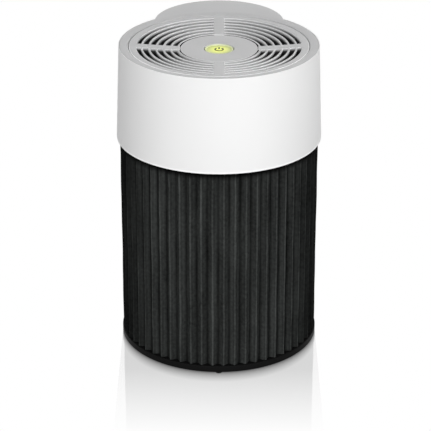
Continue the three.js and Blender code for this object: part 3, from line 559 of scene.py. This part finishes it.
def sleeve_cloth(valley, crest):
    """Stretched cloth: fine upright ribs, cross threads, crests lighter as rubbed wear and painted highlight,
    painted shade in the folds, painted shadow under the casing's foot.
    """
    ribs_per_pleat, thread_pitch, thread_share = 9.0, 1.1 * mm, 0.35
    # The band of painted shadow under the casing's foot.
    casing_shadow_z, casing_shadow_end_z, casing_shadow_level = casing_foot_z - 13 * mm, casing_foot_z - 2.5 * mm, 0.05
    spot_scale, streak_scale, blotch_scale, streak_stretch = 260.0, 95.0, 28.0, (1, 1, 0.07)
    spot_share, streak_share, blotch_share, weave_share, spot_height = 1.2, 1.3, 0.3, 0.1, 0.8
    material, tree, shader = blank("anthracite sleeve cloth")
    shader.inputs["Roughness"].default_value = 0.95
    shader.inputs["Specular IOR Level"].default_value = 0.0
    where = use(tree, axis_group)
    ribs = maths(tree, "SINE", maths(tree, "MULTIPLY", where.outputs["Turn"], pleats * ribs_per_pleat))
    threads = maths(tree, "SINE", maths(tree, "MULTIPLY", where.outputs["Height"], whole_turn / thread_pitch))
    weave = maths(tree, "MULTIPLY_ADD", threads, thread_share, ribs)
    place = place_on_piece(tree)
    spots = noise(tree, place, spot_scale, 3.0)
    blotches = noise(tree, place, blotch_scale)
    streaks = noise(tree, vector_maths(tree, "MULTIPLY", place, streak_stretch), streak_scale, 1.0)
    raised = maths(tree, "DIVIDE", maths(tree, "SUBTRACT", where.outputs["Radius"], valley), crest - valley)
    # Painted shade deep in the folds; crests lighter, partly rubbed wear and partly painted highlight.
    painted_fold_shade_and_crest_highlight = greys((0, 0.22), (0.12, 0.48), (0.4, 0.7), (0.75, 0.62), (0.88, 0.52),
                           (0.96, 0.92), (1, 1.0))
    # Painted shadow under the casing's foot, darkest right under it.
    painted_shadow_under_casing = levelled(tree, where.outputs["Height"], casing_shadow_z, casing_shadow_end_z, 1.0, casing_shadow_level, "SMOOTHSTEP")
    flecks = swing(tree, spots, spot_share)
    flecks = swing(tree, streaks, streak_share, flecks)
    flecks = swing(tree, blotches, blotch_share, flecks)
    flecks = maths(tree, "MULTIPLY_ADD", weave, weave_share, flecks)
    tone = ramp(tree, painted_fold_shade_and_crest_highlight, raised)
    for factor in (painted_shadow_under_casing, painted_side_shade(tree), flecks):
        tone = maths(tree, "MULTIPLY", tone, factor)
    shaded(tree, (0.0455, 0.0485, 0.047), tone, shader.inputs["Base Color"])
    height = maths(tree, "MULTIPLY_ADD", spots, spot_height, weave)
    bumped(tree, height, grain_relief, 0.5, shader.inputs["Normal"])
    return material


# From the middle of the button to its edge: place, surface colour and glow.
# The pale stops at 0.91 and 0.95 are a painted highlight on the raised edge; the dark last stop is painted
# shade in the gap round the button.
lime_places = (0.0, 0.55, 0.85, 0.91, 0.95, 0.98)
lime_colours = ((0.62, 0.66, 0.135), (0.56, 0.6, 0.155), (0.42, 0.46, 0.17), (0.66, 0.7, 0.44),
                (0.66, 0.7, 0.44), (0.25, 0.28, 0.1))
lime_glow = ((0.46, 0.48, 0.083), (0.22, 0.235, 0.053), (0.08, 0.09, 0.025), (0.1, 0.11, 0.06),
             (0.1, 0.11, 0.06), (0.0, 0.0, 0.0))


def lit_lime(radius):
    """Pale translucent lime, lit from below and brightest in the middle, with a painted highlight on its
    raised edge and painted shade at its outer rim.
    """
    material, tree, shader = blank("lit lime button")
    shader.inputs["Roughness"].default_value = 0.3
    shader.inputs["Emission Strength"].default_value = 1.0
    where = use(tree, axis_group)
    outward = maths(tree, "MULTIPLY", where.outputs["Radius"], 1 / radius)
    patch_scale, patch_reach = 240.0, 0.15
    edge = swing(tree, noise(tree, place_on_piece(tree), patch_scale), patch_reach, outward)
    for colours, label in ((lime_colours, "Base Color"), (lime_glow, "Emission Color")):
        wire(tree, ramp(tree, list(zip(lime_places, colours)), edge), shader.inputs[label])
    return material


button_lime = lit_lime(button_radius)
symbol_ink = plastic("olive symbol", (0.03, 0.035, 0.006), 0.6, specular=0.2)


# ---- White casing --------------------------------------------------------------------------------

def casing():
    """The white cone wall with a seat for the rim, a notch for the lobe and two openings behind."""
    lip = casing_top_radius - 0.8 * mm
    seat = 120.2 * mm
    seat_z = top_z - rim_thickness
    under = seat_z - 2.5 * mm
    piece = turned([
        (casing_foot_radius - casing_wall, casing_foot_z),
        (casing_foot_radius, casing_foot_z, 0.9 * mm),
        (casing_top_radius, top_z, 0.75 * mm),
        (lip, top_z),
        (lip, seat_z),
        (seat, seat_z),
        (seat, under),
        (casing_radius(under) - casing_wall, under - 3 * mm, 2 * mm),
    ], steps=round_steps)
    notch_radius = lobe_radius + 0.3 * mm
    notch = turned([(0, seat_z), (notch_radius, seat_z), (notch_radius, top_z + past), (0, top_z + past)],
                   about=lobe_axis, steps=160, closed=False)
    return finished(cut(piece, notch, inlet_hole(), sensor_slots()),
                    "white_casing", "housing", white_gloss, ["upper_shell"])


def inlet_hole():
    """The opening in the casing for the mains inlet."""
    play = 0.4 * mm
    half_hole = 13 * mm + play
    reach, flange = 12 * mm, 4 * mm - play
    socket_low, socket_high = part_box("power_inlet")
    return block((-half_hole, socket_high.y - reach, socket_low.z + flange),
                 (half_hole, socket_high.y + reach, socket_high.z - flange))


def sensor_slots():
    """Upright slots in the casing before the air sensor."""
    count, half_slot, half_height = 5, 0.9 * mm, 8 * mm
    inside, outside = 100 * mm, 140 * mm
    first_turn, pitch = math.radians(146.4), math.radians(1.8)
    socket_low, socket_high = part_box("power_inlet")
    middle = (socket_low.z + socket_high.z) / 2
    slots = []
    for i in range(count):
        slot = block((inside, axis_y - half_slot, middle - half_height),
                     (outside, axis_y + half_slot, middle + half_height))
        slots.append(turned_round(bevelled(slot, 0.85 * mm), first_turn + pitch * i))
    return joined(slots)


# ---- Grey top: rim with the lobe, grille, disc ---------------------------------------------------

def rim_with_lobe():
    """The flat rim round the dish, in one piece with the lobe and its skirt behind the casing."""
    inner = grille_radius + 0.35 * mm
    ledge = inner - 5.9 * mm
    ledge_z = bowl(ledge) - 8.3 * mm
    under = top_z - 2.8 * mm
    wall = 3 * mm
    overlap = 0.01 * mm
    rim = turned([
        (ledge, ledge_z - 2.5 * mm),
        (inner + wall, ledge_z - 2.5 * mm, 0.8 * mm),
        (inner + wall, under),
        (rim_radius, under),
        (rim_radius, top_z, 0.5 * mm),
        (rim_radius - 3 * mm, top_z - overlap),
        ((inner + rim_radius) / 2, top_z - 0.3 * mm),
        (inner + 0.3 * mm, bowl(inner), 1.5 * mm),
        (inner, bowl(inner) - 3 * mm),
        (inner, ledge_z),
        (ledge, ledge_z),
    ], steps=round_steps)
    skirt_z = low("top_rim").z
    lobe = turned([
        (0, under),
        (lobe_radius - wall, under, 2 * mm),
        (lobe_radius - wall, skirt_z, 0.8 * mm),
        (lobe_radius, skirt_z, 1.2 * mm),
        (lobe_radius, top_z, 1.6 * mm),
        (0, top_z),
    ], about=lobe_axis, steps=round_steps, closed=False)
    clear = casing_radius(skirt_z) + 1.2 * mm
    joint_radius, joint_z = rim_radius - 1 * mm, under + overlap
    room = turned([(0, skirt_z - past), (clear, skirt_z - past), (clear, joint_z),
                   (joint_radius, joint_z), (joint_radius, top_z + past), (0, top_z + past)],
                  steps=224, closed=False)
    piece = fused(rim, cut(lobe, room))
    return finished(piece, "top_rim_with_lobe", "housing", top_grey, ["top_rim"])


bar_width = 2.6 * mm
bar_taper = 0.8  # width below as a share of the width above
slot_outer = 106.5 * mm
bar_radii = [99.8 * mm, 90.4 * mm, 81.0 * mm, 71.6 * mm, 62.2 * mm]
slot_inner = 54.4 * mm
rib_width = 14 * mm
grille_depth = 8 * mm


def grille_bar(radius):
    """One ring of the grille, narrower below than above."""
    half = bar_width / 2
    crest = bowl(radius)
    return turned([
        (radius - half * bar_taper, crest - grille_depth),
        (radius + half * bar_taper, crest - grille_depth),
        (radius + half, crest, 1.1 * mm),
        (radius - half, crest, 1.1 * mm),
    ], steps=round_steps)


def grille_rib():
    """A flat bar from the disc to the outer band, following the dish."""
    inner, outer = disc_radius - 1 * mm, slot_outer + 2 * mm
    steps = 12
    radii = [inner + (outer - inner) * i / steps for i in range(steps + 1)]
    points = [(r, bowl(r)) for r in radii] + [(r, bowl(r) - grille_depth) for r in reversed(radii)]
    rib = traced(fan_axis + Vector((points[0][0], -rib_width / 2, points[0][1])),
                 [(b[0] - a[0], 0, b[1] - a[1]) for a, b in zip(points, points[1:])])
    return bevelled(filled(rib, (0, rib_width, 0)), 0.7 * mm, angle=60)


def grille():
    """Outer band, five bars and the band that seats the disc, crossed by four ribs."""
    disc_hole = disc_radius + 0.5 * mm
    seat = bowl(disc_hole) - 2.8 * mm
    seat_inner = disc_hole - 6 * mm
    groove = disc_hole - 1.7 * mm
    groove_z = bowl(disc_hole) - grille_depth + 1 * mm
    outer_band = turned([
        (slot_outer, bowl(slot_outer) - grille_depth),
        (grille_radius, bowl(grille_radius) - grille_depth),
        (grille_radius, bowl(grille_radius) - 3 * mm),
        (grille_radius - 0.4 * mm, bowl(grille_radius) - 0.15 * mm, 1.5 * mm),
        (slot_outer, bowl(slot_outer), 1.2 * mm),
    ], steps=round_steps)
    inner_band = turned([
        (seat_inner, bowl(slot_inner) - grille_depth),
        (slot_inner, bowl(slot_inner) - grille_depth),
        (slot_inner, bowl(slot_inner), 0.8 * mm),
        (disc_hole, bowl(disc_hole), 0.7 * mm),
        (disc_hole, groove_z),
        (groove, groove_z),
        (groove, seat),
        (seat_inner, seat),
    ], steps=round_steps)
    rings = joined([outer_band, inner_band] + [grille_bar(r) for r in bar_radii])
    piece = fused(rings, joined(around(grille_rib(), count=4)))
    return finished(piece, "dished_grille", "housing", grille_grey, ["top_grille"])


def disc():
    """The flush disc in the middle of the dish, with a collar round the button."""
    hole = button_radius + 0.7 * mm
    middle = (hole + disc_radius) / 2
    thick = 2.5 * mm
    collar = hole + 1.6 * mm
    collar_z = low("control_disc").z
    edge = disc_radius - 1.5 * mm
    piece = turned([
        (edge, bowl(edge) - thick),
        (edge, bowl(edge) - 0.2 * mm, 0.7 * mm),
        (middle, bowl(middle)),
        (hole, bowl(hole), 0.5 * mm),
        (hole, collar_z, 0.3 * mm),
        (collar, collar_z, 0.3 * mm),
        (collar, bowl(hole) - thick),
    ])
    return finished(piece, "control_disc_top", "housing", grille_grey, ["control_disc"])


# ---- Button with its symbol ----------------------------------------------------------------------

button_edge_z = high("power_button").z
button_dish = 1.2 * mm


def button():
    """A round key, dished inside a raised edge, with a short stem below."""
    stem_z = low("power_button").z
    outer = button_radius - 0.2 * mm
    under = button_edge_z - 3 * mm
    dish_z = button_edge_z - button_dish
    edge_z = button_edge_z - 0.05 * mm
    stem = 3 * mm
    piece = turned([
        (0, dish_z),
        (outer * 0.5, dish_z),
        (outer * 0.89, dish_z - 0.05 * mm),
        (outer * 0.95, edge_z, 0.3 * mm),
        (outer, edge_z, 0.5 * mm),
        (outer, under, 0.3 * mm),
        (stem, under),
        (stem, stem_z),
        (0, stem_z),
    ], steps=128, closed=False)
    return finished(piece, "lit_button", "button", button_lime, ["power_button"],
                    sharp=50)


def power_symbol():
    """An open ring with an upright stroke, laid on the dish of the button."""
    base = button_edge_z - button_dish - 0.1 * mm
    top = base + 0.45 * mm
    centre_y = axis_y + 1.5 * mm
    radius, half_line = 5.2 * mm, 0.9 * mm
    stroke_low, stroke_high = centre_y + 1.2 * mm, centre_y + 7.4 * mm
    half_gap = math.radians(38)
    steps = 40
    turns = [math.pi / 2 + half_gap + (whole_turn - 2 * half_gap) * i / steps for i in range(steps + 1)]
    open_ring = prism(arc_outline(radius + half_line, radius - half_line, turns, centre_y), base, top)
    stroke = block((-half_line, stroke_low, base), (half_line, stroke_high, top))
    piece = bevelled(joined([open_ring, stroke]), 0.1 * mm, 2)
    return finished(piece, "power_symbol", "button", symbol_ink)


# ---- Filter drum ---------------------------------------------------------------------------------

pleat_pitch = whole_turn / pleats
first_pleat = -math.pi / 2 + math.radians(2.8)
# From a crest to the middle of a flute: how far across, and how far in, both in millimetres.
flute_drops = [(0.0, 0.0), (0.7, 0.08), (1.2, 0.35), (1.7, 0.85), (2.4, 1.5), (3.6, 2.7), (5.0, 4.0),
               (6.2, 4.9), (7.3, 5.3)]
# The caps' lobes: share of a pleat, and how far in from the tip in millimetres.
lobe_drops = [(0.0, 0.0), (0.1, 0.7), (0.5, 5.5), (0.9, 0.7)]


def sleeve():
    """Cloth stretched over the tips of the pleats: one flute modelled, then copied round."""
    crest = half_width("prefilter_sleeve") - 0.05 * mm
    bottom, top = low("prefilter_sleeve").z, high("prefilter_sleeve").z
    wall, rows, drift_reach = 0.8 * mm, 28, 1.2 * mm
    reach = flute_drops[-1][0]
    rising = [(across / reach / 2, drop * mm) for across, drop in flute_drops]
    flute = rising + [(1 - across, drop) for across, drop in reversed(rising[:-1])]
    points = []
    for across, drop in flute:
        turn = first_pleat + pleat_pitch * across
        radius = crest - drop
        points.append(fan_axis + Vector((radius * math.cos(turn), radius * math.sin(turn), 0)))
    strip = traced(points[0] + Vector((0, 0, bottom)), [b - a for a, b in zip(points, points[1:])])
    for _ in range(rows):
        extrude((0, 0, (top - bottom) / rows))
    close_mesh(turned_outwards=False)
    cloth = joined(around(strip, pleats))
    open_mesh(cloth)
    bpy.ops.mesh.remove_doubles(threshold=0.01 * mm)
    close_mesh()
    for way, cloud_size in (("X", 40 * mm), ("Y", 55 * mm)):
        clouds = bpy.data.textures.new(f"sleeve drift {way}", "CLOUDS")
        clouds.noise_scale = cloud_size
        displace = cloth.modifiers.new("drift", "DISPLACE")
        displace.texture = clouds
        displace.direction = way
        displace.strength = drift_reach
        only(cloth)
        bpy.ops.object.modifier_apply(modifier=displace.name)
    solidify = cloth.modifiers.new("cloth", "SOLIDIFY")
    solidify.thickness = wall
    solidify.offset = -1
    bpy.ops.object.modifier_apply(modifier=solidify.name)
    finish = sleeve_cloth(crest - flute_drops[-1][1] * mm, crest)
    finished(cloth, "fluted_sleeve", "filter", finish, ["prefilter_sleeve"], sharp=50)
    return cloth


def filter_cap(node, name):
    """An end cap whose lobes hold the sleeve in its flutes, with a shallow tray in its face."""
    bottom, top = low(node).z, high(node).z
    tip = half_width("prefilter_sleeve") - 1.5 * mm
    bore = 83 * mm
    tray_z = top - 0.8 * mm
    rim = []
    for i in range(pleats):
        for across, drop in lobe_drops:
            turn = first_pleat + pleat_pitch * (i + across)
            radius = tip - drop * mm
            rim.append((radius * math.cos(turn), axis_y + radius * math.sin(turn)))
    body = prism(rim, bottom, top)
    inside = turned([(0, bottom - past), (bore, bottom - past), (bore, top + past), (0, top + past)],
                    steps=160, closed=False)
    tray = turned([(bore + 2 * mm, tray_z), (tip - 10 * mm, tray_z),
                   (tip - 9 * mm, top + past), (bore + 1 * mm, top + past)], steps=160)
    cut(body, inside, tray)
    return finished(body, name, "filter", base_black, [node])


def gasket():
    """The foam ring on the drum's top cap."""
    bottom, top = low("filter_gasket").z, high("filter_gasket").z
    outer = half_width("filter_gasket")
    inner = outer - 20 * mm
    piece = turned([(inner, bottom), (outer, bottom), (outer, top, 1.5 * mm), (inner, top, 1.5 * mm)],
                   steps=128)
    return finished(piece, "foam_seal", "filter", foam, ["filter_gasket"])


# ---- Base ----------------------------------------------------------------------------------------

def bent_blocks(middles, half_turn, steps, inside, outside, bottom, top, edge):
    """Blocks bent about the fan axis, joined into one mesh. Middles and half turn are in degrees."""
    blocks = []
    for middle in middles:
        turns = [math.radians(middle - half_turn + 2 * half_turn * i / steps) for i in range(steps + 1)]
        blocks.append(bevelled(prism(arc_outline(inside, outside, turns), bottom, top), edge, 2))
    return joined(blocks)


def base():
    """The black foot ring with its floor, and the lock collar with three ledges for the lugs."""
    bottom, lock_top = low("base_plate").z, high("base_plate").z
    radius = half_width("base_plate")
    rim_z = bottom + 9 * mm
    floor_z = bottom + 4 * mm
    lock_outer = lock_inner + 2.7 * mm
    body = turned([
        (0, bottom),
        (radius - 1.2 * mm, bottom, 0.5 * mm),
        (radius, bottom + 1.2 * mm, 0.5 * mm),
        (radius, rim_z, 0.8 * mm),
        (lock_outer, rim_z),
        (lock_outer, lock_top, 0.8 * mm),
        (lock_inner, lock_top, 0.8 * mm),
        (lock_inner, floor_z, 0.8 * mm),
        (0, floor_z),
    ], steps=round_steps, closed=False)
    fused(body, bent_blocks(middles=(-30, 90, 210), half_turn=38, steps=16,
                            inside=75 * mm, outside=lock_inner + 1.2 * mm,
                            bottom=lock_top - 4 * mm, top=lock_top - 0.4 * mm, edge=0.3 * mm))
    return finished(body, "black_base", "base", base_black, ["base_plate"])


def foot(node):
    """A round rubber pad with a stem that sits in the base."""
    lowest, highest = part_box(node)
    middle = (lowest + highest) / 2
    pad, pad_top, stem = 5 * mm, 1.7 * mm, 2.2 * mm
    piece = turned([(0, 0), (pad - 0.9 * mm, 0, 0.3 * mm), (pad, 1 * mm, 0.4 * mm), (pad, pad_top),
                    (stem, pad_top), (stem, highest.z), (0, highest.z)],
                   about=Vector((middle.x, middle.y, 0)), steps=48, closed=False)
    return finished(piece, f"rubber_{node}", "base", foot_rubber, [node])


# ---- Cage with its lock ring ---------------------------------------------------------------------

def cage():
    """Six posts under a flange, which hang into the drum."""
    lowest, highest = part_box("filter_cage")
    inner, wall, half_post = 69.8 * mm, 5.2 * mm, 4 * mm
    flange_radius = half_width("filter_cage")
    under = highest.z - 3 * mm
    flange = turned([(inner, under, 0.4 * mm), (flange_radius, under, 0.6 * mm),
                     (flange_radius, highest.z), (inner, highest.z)], steps=160)
    post = block((inner, axis_y - half_post, lowest.z),
                 (inner + wall, axis_y + half_post, highest.z - 1 * mm))
    fused(flange, joined(around(bevelled(post, 0.9 * mm), count=6, first=math.radians(30))))
    return finished(flange, "drum_cage", "housing", inner_dark, ["filter_cage"])


def lock_ring():
    """The ring at the posts' lower ends, with three lugs that turn under the base's ledges."""
    lowest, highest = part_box("lock_ring")
    inner, outer, edge = 69.5 * mm, 75 * mm, 0.7 * mm
    ring = turned([(inner, lowest.z, edge), (outer, lowest.z, edge), (outer, highest.z, edge),
                   (inner, highest.z, edge)], steps=160)
    fused(ring, bent_blocks(middles=(-90, 30, 150), half_turn=18, steps=12,
                            inside=outer - 2 * mm, outside=lock_inner - 0.5 * mm,
                            bottom=30.1 * mm, top=35.7 * mm, edge=0.5 * mm))
    return finished(ring, "cage_lock_ring", "housing", inner_dark, ["lock_ring"])


# ---- Everything made -----------------------------------------------------------------------------

slot_finishes = {
    "shell_white": white_gloss, "top_grey": top_grey, "base_black": base_black,
    "inner_dark": inner_dark, "button_lime": button_lime, "light_guide": milky_clear,
    "foot_rubber": foot_rubber, "filter_paper": paper, "carbon_felt": felt, "gasket_foam": foam,
    "steel": steel, "motor_iron": iron, "copper_wire": copper, "circuit_board": green_board,
    "lead_black": lead_sheath, "sleeve_textile": felt,
}
for subpart in frame["record"]["subparts"]:
    node = nodes[subpart["node"]]
    node.data.materials.clear()
    node.data.materials.append(slot_finishes[subpart["material_slot"]])
nodes["motor_connector"].data.materials[0] = white_nylon

casing()
rim_with_lobe()
grille()
disc()
button()
power_symbol()
finished(refined("handle_grip", 1 * mm, 3), "soft_grip",
         "housing", inner_dark, ["handle_grip"])
finished(refined("power_inlet", 0.35 * mm), "mains_inlet",
         "housing", base_black, ["power_inlet"])
sleeve()
filter_cap("filter_top_cap", "drum_top_cap")
filter_cap("filter_bottom_cap", "drum_bottom_cap")
gasket()
base()
for name in ("foot_front", "foot_rear_right", "foot_rear_left"):
    foot(name)
cage()
lock_ring()


# ---- Floor, light and camera ---------------------------------------------------------------------

def bright_to_the_eye(tree):
    """1 for camera, glossy and transmission rays, 0 for the rest."""
    path = tree.nodes.new("ShaderNodeLightPath")
    seen = maths(tree, "MAXIMUM", path.outputs["Is Camera Ray"], path.outputs["Is Glossy Ray"])
    return maths(tree, "MAXIMUM", seen, path.outputs["Is Transmission Ray"])


def surroundings(strength):
    """White to the eye, and a weak even light on everything."""
    world = bpy.data.worlds.new("white studio")
    bpy.context.scene.world = world
    world.use_nodes = True
    tree = world.node_tree
    background = tree.nodes["Background"]
    background.inputs["Color"].default_value = (1, 1, 1, 1)
    level = maths(tree, "MULTIPLY_ADD", bright_to_the_eye(tree), 1 - strength, strength)
    wire(tree, level, background.inputs["Strength"])


def before_the_base(tree):
    """How far a floor point lies before the fan axis and before the base's edge, and 1 where it lies
    beside or behind the base."""
    split = tree.nodes.new("ShaderNodeSeparateXYZ")
    wire(tree, place_on_piece(tree), split.inputs[0])
    aside = split.outputs["X"]
    ahead = maths(tree, "SUBTRACT", axis_y, split.outputs["Y"])
    square = maths(tree, "SUBTRACT", half_width("base_plate") ** 2, maths(tree, "MULTIPLY", aside, aside))
    distance = maths(tree, "SUBTRACT", ahead, maths(tree, "SQRT", maths(tree, "MAXIMUM", square, 0.0)))
    elsewhere = maths(tree, "MAXIMUM", maths(tree, "LESS_THAN", square, 0.0),
                      maths(tree, "LESS_THAN", ahead, 0.0))
    return ahead, distance, elsewhere


def floor():
    """A pale polished floor that fades into the white surroundings, with a painted contact shadow where the
    base meets it.
    """
    contact_shadow_start, contact_shadow_end, contact_shadow_curve = -9 * mm, 22 * mm, 0.75
    fade_start, fade_end, fade_level = 120 * mm, 290 * mm, 0.56
    lit_level, level_added_to_the_eye = 0.42, 0.53
    reach = 9.0
    ground = primitive(bpy.ops.mesh.primitive_circle_add, vertices=96, radius=reach, fill_type="NGON")
    ground.name = "pale_floor"
    material, tree, shader = blank("pale floor")
    shader.inputs["Roughness"].default_value = 0.03
    shader.inputs["IOR"].default_value = 2.2
    shader.inputs["Metallic"].default_value = 0.4
    seen = bright_to_the_eye(tree)
    ahead, distance, elsewhere = before_the_base(tree)
    # Painted contact shadow on the floor just before the base, darkest at the base's edge.
    painted_contact_shadow = levelled(tree, distance, contact_shadow_start, contact_shadow_end, 0.0, 1.0)
    painted_contact_shadow = maths(tree, "MAXIMUM", maths(tree, "POWER", painted_contact_shadow, contact_shadow_curve), elsewhere)
    fade = levelled(tree, ahead, fade_start, fade_end, fade_level, 1.0)
    fade = maths(tree, "MAXIMUM", maths(tree, "MULTIPLY", fade, painted_contact_shadow), elsewhere)
    level = maths(tree, "MULTIPLY_ADD", seen, level_added_to_the_eye, lit_level)
    shaded(tree, grey(1.0), maths(tree, "MULTIPLY", level, painted_contact_shadow), shader.inputs["Base Color"])
    white = tree.nodes.new("ShaderNodeEmission")
    white.inputs["Color"].default_value = (1, 1, 1, 1)
    mix = tree.nodes.new("ShaderNodeMixShader")
    wire(tree, maths(tree, "MULTIPLY", fade, seen), mix.inputs[0])
    wire(tree, shader.outputs[0], mix.inputs[1])
    wire(tree, white.outputs[0], mix.inputs[2])
    wire(tree, mix.outputs[0], tree.nodes["Material Output"].inputs["Surface"])
    ground.data.materials.append(material)


def softbox(name, place, wide, tall, watts, aim=(0, axis_y, 0.22), spread=180):
    """A rectangular area lamp turned towards a point on the purifier."""
    lamp = bpy.data.lights.new(name, "AREA")
    lamp.shape = "RECTANGLE"
    lamp.size, lamp.size_y = wide, tall
    lamp.energy = watts
    lamp.spread = math.radians(spread)
    holder = bpy.data.objects.new(name, lamp)
    bpy.context.scene.collection.objects.link(holder)
    holder.location = place
    holder.rotation_euler = (Vector(aim) - Vector(place)).to_track_quat("-Z", "Y").to_euler()


def camera():
    """A long lens before the purifier, looking down on it."""
    distance, height = 2.4908, 1.2997
    looking_down, turned_left = math.radians(24.42), math.radians(0.106)
    view = bpy.data.cameras.new("front camera")
    view.lens = 170.97
    view.sensor_width = 36
    holder = bpy.data.objects.new("front camera", view)
    bpy.context.scene.collection.objects.link(holder)
    holder.location = (0, axis_y - distance, height)
    holder.rotation_euler = (math.pi / 2 - looking_down, 0, turned_left)
    bpy.context.scene.camera = holder


bpy.context.scene.view_settings.view_transform = "Standard"
surroundings(0.1)
floor()
softbox("front softbox", place=(-0.12, -2.6, 2.72), wide=0.9, tall=0.9, watts=45)
softbox("low softbox", place=(-0.06, -1.3, 0.14), wide=3.0, tall=0.26, watts=10.3, aim=(0, axis_y, 0.14))
softbox("side softbox", place=(1.25, -0.35, 0.85), wide=0.4, tall=0.4, watts=0.27,
        aim=(0.12, axis_y, 0.38), spread=40)
softbox("top softbox", place=(0, 0, 2.4), wide=1.5, tall=1.5, watts=20.5)
camera()
